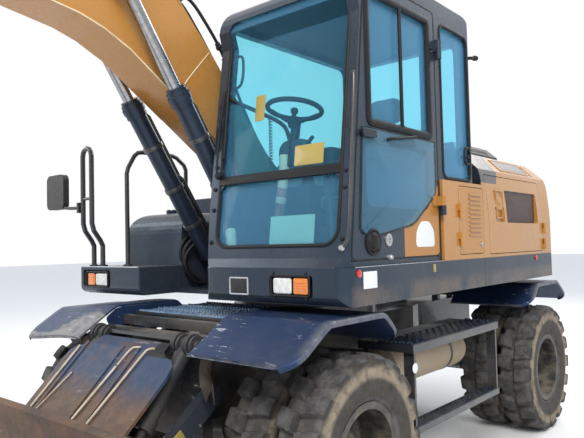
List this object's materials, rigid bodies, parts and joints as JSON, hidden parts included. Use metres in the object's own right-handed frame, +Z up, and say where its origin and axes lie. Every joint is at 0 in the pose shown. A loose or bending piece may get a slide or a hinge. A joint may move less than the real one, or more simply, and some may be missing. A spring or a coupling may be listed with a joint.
{
  "type": "wheeled excavator",
  "caption": "Two-axle wheeled excavator with cab left of a bent boom, arm, bucket, dozer blade, twin tyres and slewing upper structure.",
  "frame": {"origin": "on the ground under the slew axis", "axes": "-Y towards the blade and the boom, +X towards the cab side, +Z up"},
  "size_m": [3.041, 7.2164, 4.0198],
  "materials": {
    "slate_paint": "semi-gloss slate blue paint with dust",
    "black_paint": "black paint, dusty and worn",
    "fender_paint": "glossy blue-black paint with scratches",
    "cast_iron": "dusty castings",
    "tyre_rubber": "dusty black tread rubber",
    "rim_paint": "black paint",
    "worn_steel": "scoured and rusty steel",
    "chrome_rod": "polished rod",
    "window_glass": "clear blue-green tinted glass",
    "black_plastic": "matte moulded plastic",
    "seat_cloth": "dark woven seat cloth",
    "gold_paint": "satin ochre-gold paint",
    "hood_mesh": "black slotted sheet",
    "lamp_lens": "clear and amber lenses"
  },
  "bodies": {
    "chassis": {"chassis_frame": "black_paint", "rigid_axle": "black_paint", "steer_axle": "black_paint", "driveline": "cast_iron", "fenders": "fender_paint", "side_step": "black_paint", "tool_box": "black_paint"},
    "wheels_blade_left": {"tyres_blade_left": "tyre_rubber", "rims_blade_left": "rim_paint"},
    "wheels_blade_right": {"tyres_blade_right": "tyre_rubber", "rims_blade_right": "rim_paint"},
    "wheels_steer_left": {"tyres_steer_left": "tyre_rubber", "rims_steer_left": "rim_paint"},
    "wheels_steer_right": {"tyres_steer_right": "tyre_rubber", "rims_steer_right": "rim_paint"},
    "knuckle_left": {"knuckle_left": "black_paint"},
    "knuckle_right": {"knuckle_right": "black_paint"},
    "tie_rod": {"tie_rod": "black_paint"},
    "blade": {"blade": "worn_steel"},
    "blade_cylinders": {"blade_cylinders": "black_paint"},
    "blade_rods": {"blade_rods": "chrome_rod"},
    "upper": {"upper_frame": "slate_paint", "cab_deck": "slate_paint", "cab_shell": "slate_paint", "cab_glass": "window_glass", "seat_base": "black_plastic", "seat_cushions": "seat_cloth", "console": "black_plastic", "platform": "slate_paint", "tanks": "slate_paint", "body_shell": "gold_paint", "counterweight": "gold_paint", "engine": "cast_iron", "handrails": "black_paint", "mirror": "black_plastic", "lamps": "lamp_lens"},
    "hood": {"hood": "hood_mesh"},
    "louvre_door": {"louvre_door": "gold_paint"},
    "grille_door": {"grille_door": "gold_paint"},
    "right_door": {"right_door": "gold_paint"},
    "cab_door": {"cab_door": "slate_paint", "door_glass": "window_glass"},
    "boom": {"boom": "gold_paint", "boom_pipes": "black_paint"},
    "lift_cylinders": {"lift_cylinders": "black_paint"},
    "lift_rods": {"lift_rods": "chrome_rod"},
    "stick_cylinder": {"stick_cylinder": "black_paint"},
    "stick_rod": {"stick_rod": "chrome_rod"},
    "arm": {"arm": "gold_paint"},
    "crowd_cylinder": {"crowd_cylinder": "black_paint"},
    "crowd_rod": {"crowd_rod": "chrome_rod"},
    "rocker": {"rocker": "black_paint"},
    "link": {"link": "black_paint"},
    "bucket": {"bucket": "worn_steel"}
  },
  "joints": [
    {"name": "roll_blade_left", "type": "hinge", "parent": "chassis", "child": "wheels_blade_left", "pos_m": [0.96, -1.02, 0.5275], "axis": [1, 0, 0], "continuous": true},
    {"name": "roll_blade_right", "type": "hinge", "parent": "chassis", "child": "wheels_blade_right", "pos_m": [-0.96, -1.02, 0.5275], "axis": [1, 0, 0], "continuous": true},
    {"name": "roll_steer_left", "type": "hinge", "parent": "knuckle_left", "child": "wheels_steer_left", "pos_m": [0.96, 1.78, 0.5275], "axis": [1, 0, 0], "continuous": true},
    {"name": "roll_steer_right", "type": "hinge", "parent": "knuckle_right", "child": "wheels_steer_right", "pos_m": [-0.96, 1.78, 0.5275], "axis": [1, 0, 0], "continuous": true},
    {"name": "steering", "type": "hinge", "parent": "chassis", "child": "knuckle_left", "pos_m": [0.62, 1.78, 0.5275], "axis": [0, 0, 1], "range_deg": [-30, 30]},
    {"name": "steering_right", "type": "hinge", "parent": "chassis", "child": "knuckle_right", "pos_m": [-0.62, 1.78, 0.5275], "axis": [0, 0, 1], "range_deg": [-30, 30]},
    {"name": "tie_rod_pivot", "type": "hinge", "parent": "knuckle_left", "child": "tie_rod", "pos_m": [0.62, 2.01, 0.3915], "axis": [0, 0, 1], "range_deg": [-30, 30]},
    {"name": "blade_lift", "type": "hinge", "parent": "chassis", "child": "blade", "pos_m": [0, -1.43, 0.83], "axis": [-1, 0, 0], "range_deg": [-23, 3]},
    {"name": "blade_cylinder_swing", "type": "hinge", "parent": "chassis", "child": "blade_cylinders", "pos_m": [0, -1.515, 1.1], "axis": [-1, 0, 0], "range_deg": [-17.68, 2.31]},
    {"name": "blade_rod_slide", "type": "slide", "parent": "blade_cylinders", "child": "blade_rods", "axis": [0, -0.6082, -0.7938], "range_m": [-0.011, 0.0838]},
    {"name": "slew", "type": "hinge", "parent": "chassis", "child": "upper", "pos_m": [0, 0, 1.28], "axis": [0, 0, 1], "continuous": true},
    {"name": "cab_door_hinge", "type": "hinge", "parent": "upper", "child": "cab_door", "pos_m": [1.263, -0.135, 2.3], "axis": [0, 0, 1], "range_deg": [0, 175]},
    {"name": "hood_hinge", "type": "hinge", "parent": "upper", "child": "hood", "pos_m": [0, 1.49, 2.344], "axis": [-1, 0, 0], "range_deg": [0, 60]},
    {"name": "louvre_door_hinge", "type": "hinge", "parent": "upper", "child": "louvre_door", "pos_m": [1.258, 0.125, 1.75], "axis": [0, 0, 1], "range_deg": [-100, 0]},
    {"name": "grille_door_hinge", "type": "hinge", "parent": "upper", "child": "grille_door", "pos_m": [1.258, 1.775, 1.66], "axis": [0, 0, 1], "range_deg": [0, 100]},
    {"name": "right_door_hinge", "type": "hinge", "parent": "upper", "child": "right_door", "pos_m": [-1.258, 1.775, 1.66], "axis": [0, 0, -1], "range_deg": [0, 100]},
    {"name": "boom_lift", "type": "hinge", "parent": "upper", "child": "boom", "pos_m": [-0.175, -0.12, 1.78], "axis": [-1, 0, 0], "range_deg": [-57, 41]},
    {"name": "lift_cylinder_swing", "type": "hinge", "parent": "upper", "child": "lift_cylinders", "pos_m": [-0.175, -0.54, 1.45], "axis": [-1, 0, 0], "range_deg": [-57.85, 41.61]},
    {"name": "lift_rod_slide", "type": "slide", "parent": "lift_cylinders", "child": "lift_rods", "axis": [0, -0.5436, 0.8393], "range_m": [-0.4671, 0.336]},
    {"name": "arm_swing", "type": "hinge", "parent": "boom", "child": "arm", "pos_m": [-0.175, -4.406, 3.45], "axis": [1, 0, 0], "range_deg": [-90, 20]},
    {"name": "stick_cylinder_swing", "type": "hinge", "parent": "boom", "child": "stick_cylinder", "pos_m": [-0.175, -2.35, 3.83], "axis": [1, 0, 0], "range_deg": [-0.74, 3.32]},
    {"name": "stick_rod_slide", "type": "slide", "parent": "stick_cylinder", "child": "stick_rod", "axis": [0, -0.9984, 0.0557], "range_m": [-0.6942, 0.1543]},
    {"name": "bucket_curl", "type": "hinge", "parent": "arm", "child": "bucket", "pos_m": [-0.175, -4.22812, 0.90621], "axis": [1, 0, 0], "range_deg": [-66, 102]},
    {"name": "rocker_swing", "type": "hinge", "parent": "arm", "child": "rocker", "pos_m": [-0.175, -4.30448, 1.25273], "axis": [1, 0, 0], "range_deg": [-36.62, 56.6]},
    {"name": "link_swing", "type": "hinge", "parent": "bucket", "child": "link", "pos_m": [-0.175, -4.48879, 0.75571], "axis": [1, 0, 0], "range_deg": [-67.97, 43.98]},
    {"name": "crowd_cylinder_swing", "type": "hinge", "parent": "arm", "child": "crowd_cylinder", "pos_m": [-0.175, -4.72946, 2.97227], "axis": [1, 0, 0], "range_deg": [-3.61, 5.58]},
    {"name": "crowd_rod_slide", "type": "slide", "parent": "crowd_cylinder", "child": "crowd_rod", "axis": [0, -0.014, -0.9999], "range_m": [-0.2456, 0.3795]}
  ],
  "couplings": [
    {"joint": "steering_right", "follows": "steering", "ratio": 1},
    {"joint": "tie_rod_pivot", "follows": "steering", "ratio": -1},
    {"joint": "blade_cylinder_swing", "follows": "blade_lift", "ratio": 0.7673},
    {"joint": "blade_rod_slide", "follows": "blade_lift", "m_per_rad": -0.20815},
    {"joint": "lift_cylinder_swing", "follows": "boom_lift", "ratio": 1.0129},
    {"joint": "lift_rod_slide", "follows": "boom_lift", "m_per_rad": 0.4685},
    {"joint": "stick_cylinder_swing", "follows": "arm_swing", "ratio": -0.0368},
    {"joint": "stick_rod_slide", "follows": "arm_swing", "m_per_rad": 0.441},
    {"joint": "rocker_swing", "follows": "bucket_curl", "ratio": 0.5537},
    {"joint": "link_swing", "follows": "bucket_curl", "ratio": -0.665},
    {"joint": "crowd_cylinder_swing", "follows": "bucket_curl", "ratio": 0.0546},
    {"joint": "crowd_rod_slide", "follows": "bucket_curl", "m_per_rad": 0.21267}
  ]
}
